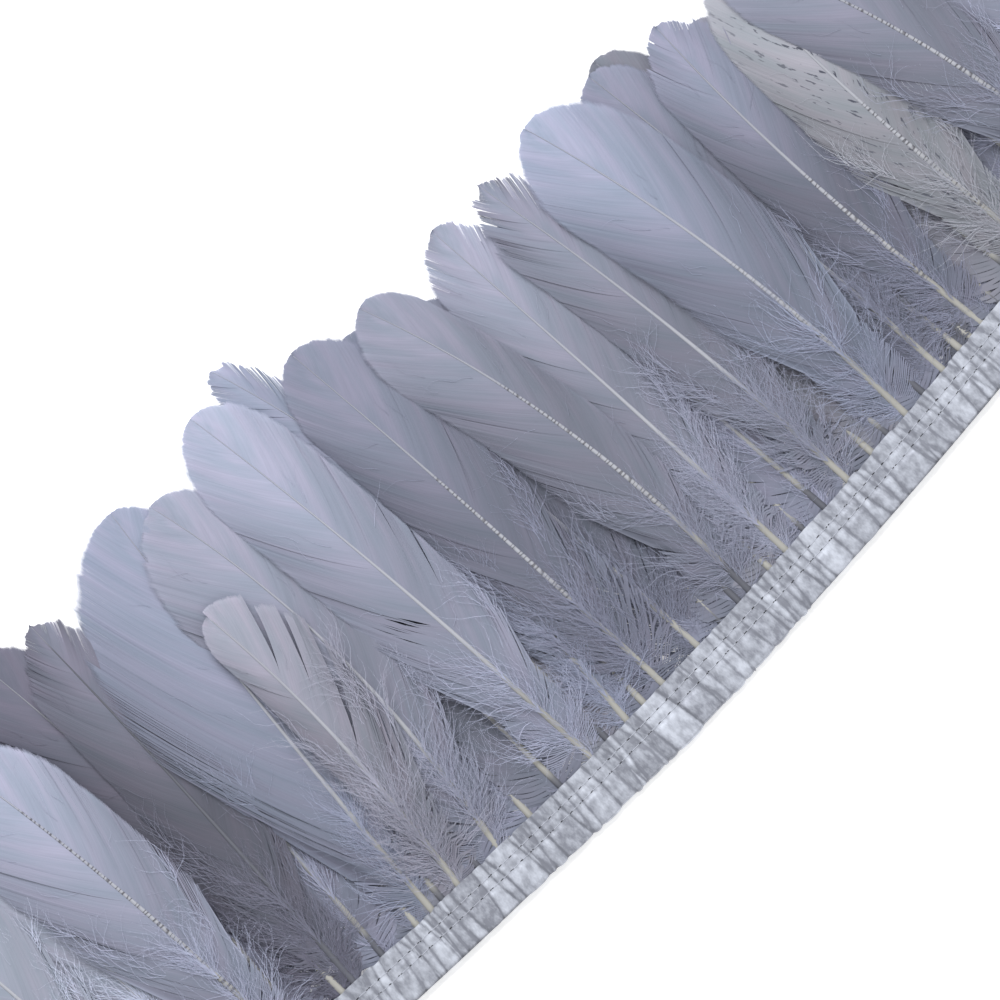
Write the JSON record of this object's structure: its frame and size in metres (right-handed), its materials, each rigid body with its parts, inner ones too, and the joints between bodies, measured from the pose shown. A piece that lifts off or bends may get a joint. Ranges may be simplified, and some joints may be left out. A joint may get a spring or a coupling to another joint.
{
  "type": "goose feather trim",
  "caption": "Length of trim: dyed grey goose feathers sewn side by side, by their quills, into a folded satin tape, lying on its flat back.",
  "frame": {"origin": "middle of the tape's flat back, halfway along its length and its width", "axes": "+X along the tape, +Y from the tape to the feathers' tips, +Z out of the front, away from the surface it lies on"},
  "size_m": [0.5334, 0.2004, 0.0138],
  "materials": {
    "feather": "dyed goose feather, matte with a soft sheen",
    "satin_tape": "silver grey satin ribbon"
  },
  "bodies": {
    "root": {"satin_tape": "satin_tape", "front_feather_01": "feather", "front_feather_02": "feather", "front_feather_03": "feather", "front_feather_04": "feather", "front_feather_05": "feather", "front_feather_06": "feather", "front_feather_07": "feather", "front_feather_08": "feather", "front_feather_09": "feather", "front_feather_10": "feather", "front_feather_11": "feather", "front_feather_12": "feather", "front_feather_13": "feather", "front_feather_14": "feather", "front_feather_15": "feather", "front_feather_16": "feather", "front_feather_17": "feather", "front_feather_18": "feather", "front_feather_19": "feather", "front_feather_20": "feather", "front_feather_21": "feather", "front_feather_22": "feather", "front_feather_23": "feather", "front_feather_24": "feather", "front_feather_25": "feather", "back_feather_01": "feather", "back_feather_02": "feather", "back_feather_03": "feather", "back_feather_04": "feather", "back_feather_05": "feather", "back_feather_06": "feather", "back_feather_07": "feather", "back_feather_08": "feather", "back_feather_09": "feather", "back_feather_10": "feather", "back_feather_11": "feather", "back_feather_12": "feather", "back_feather_13": "feather", "back_feather_14": "feather", "back_feather_15": "feather", "back_feather_16": "feather", "back_feather_17": "feather", "back_feather_18": "feather", "back_feather_19": "feather", "back_feather_20": "feather", "back_feather_21": "feather", "back_feather_22": "feather", "back_feather_23": "feather", "back_feather_24": "feather", "back_feather_25": "feather", "back_feather_26": "feather", "back_feather_27": "feather", "back_feather_28": "feather", "back_feather_29": "feather"}
  },
  "joints": []
}
